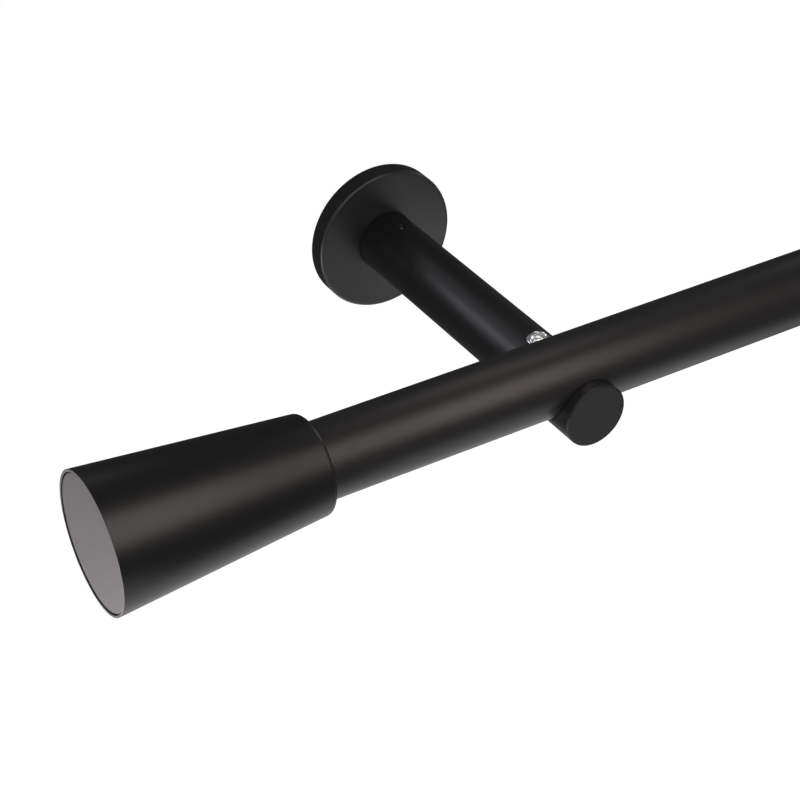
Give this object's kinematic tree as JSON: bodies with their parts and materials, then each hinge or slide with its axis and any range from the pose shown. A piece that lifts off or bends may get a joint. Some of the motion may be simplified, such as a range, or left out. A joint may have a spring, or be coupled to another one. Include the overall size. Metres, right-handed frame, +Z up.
{
  "type": "curtain rod",
  "caption": "Straight round curtain rod in matt black on two wall brackets with open saddles, with a hollow cone finial at each end.",
  "frame": {"origin": "on the wall plane, midway between the two brackets, at the height of the arms' centre lines", "axes": "+X along the rod, +Y into the wall, +Z up"},
  "size_m": [1.15, 0.16, 0.0643],
  "materials": {
    "rod_black": "satin black powder coat",
    "bracket_black": "matt black powder coat",
    "cone_black": "satin black powder coat",
    "satin_grey": "satin grey lacquer",
    "zinc": "bright zinc plating",
    "black_plastic": "moulded black polyamide"
  },
  "bodies": {
    "wall_fittings": {"left_wall_disc": "zinc", "left_spigot": "zinc", "left_spigot_screw": "zinc", "right_wall_disc": "zinc", "right_spigot": "zinc", "right_spigot_screw": "zinc"},
    "bracket_arms": {"left_bracket_arm": "bracket_black", "right_bracket_arm": "bracket_black"},
    "rod": {"rod_tube": "rod_black"},
    "left_finial": {"left_finial_cone": "cone_black", "left_finial_disc": "satin_grey", "left_finial_plug": "black_plastic", "left_finial_screw": "zinc"},
    "right_finial": {"right_finial_cone": "cone_black", "right_finial_disc": "satin_grey", "right_finial_plug": "black_plastic", "right_finial_screw": "zinc"},
    "left_clamp_screw": {"left_clamp_screw": "zinc"},
    "right_clamp_screw": {"right_clamp_screw": "zinc"},
    "left_set_screw": {"left_set_screw": "zinc"},
    "right_set_screw": {"right_set_screw": "zinc"},
    "left_rosette": {"left_rosette": "bracket_black"},
    "right_rosette": {"right_rosette": "bracket_black"}
  },
  "joints": [
    {"name": "arms_pull_off", "type": "slide", "parent": "wall_fittings", "child": "bracket_arms", "axis": [0, -1, 0], "range_m": [0, 0.036]},
    {"name": "rod_shift", "type": "slide", "parent": "bracket_arms", "child": "rod", "axis": [1, 0, 0], "range_m": [-0.09, 0.09]},
    {"name": "left_finial_pull", "type": "slide", "parent": "rod", "child": "left_finial", "axis": [-1, 0, 0], "range_m": [0, 0.04]},
    {"name": "left_clamp_screw_turn", "type": "hinge", "parent": "bracket_arms", "child": "left_clamp_screw", "pos_m": [-0.39, -0.11674, 0], "axis": [0, 0, 1], "range_deg": [0, 720]},
    {"name": "left_set_screw_turn", "type": "hinge", "parent": "bracket_arms", "child": "left_set_screw", "pos_m": [-0.39, -0.0205, 0], "axis": [0, 0, 1], "range_deg": [0, 720]},
    {"name": "left_rosette_slide", "type": "slide", "parent": "bracket_arms", "child": "left_rosette", "axis": [0, -1, 0], "range_m": [0, 0.08]},
    {"name": "right_finial_pull", "type": "slide", "parent": "rod", "child": "right_finial", "axis": [1, 0, 0], "range_m": [0, 0.04]},
    {"name": "right_clamp_screw_turn", "type": "hinge", "parent": "bracket_arms", "child": "right_clamp_screw", "pos_m": [0.39, -0.11674, 0], "axis": [0, 0, 1], "range_deg": [0, 720]},
    {"name": "right_set_screw_turn", "type": "hinge", "parent": "bracket_arms", "child": "right_set_screw", "pos_m": [0.39, -0.0205, 0], "axis": [0, 0, 1], "range_deg": [0, 720]},
    {"name": "right_rosette_slide", "type": "slide", "parent": "bracket_arms", "child": "right_rosette", "axis": [0, -1, 0], "range_m": [0, 0.08]}
  ]
}
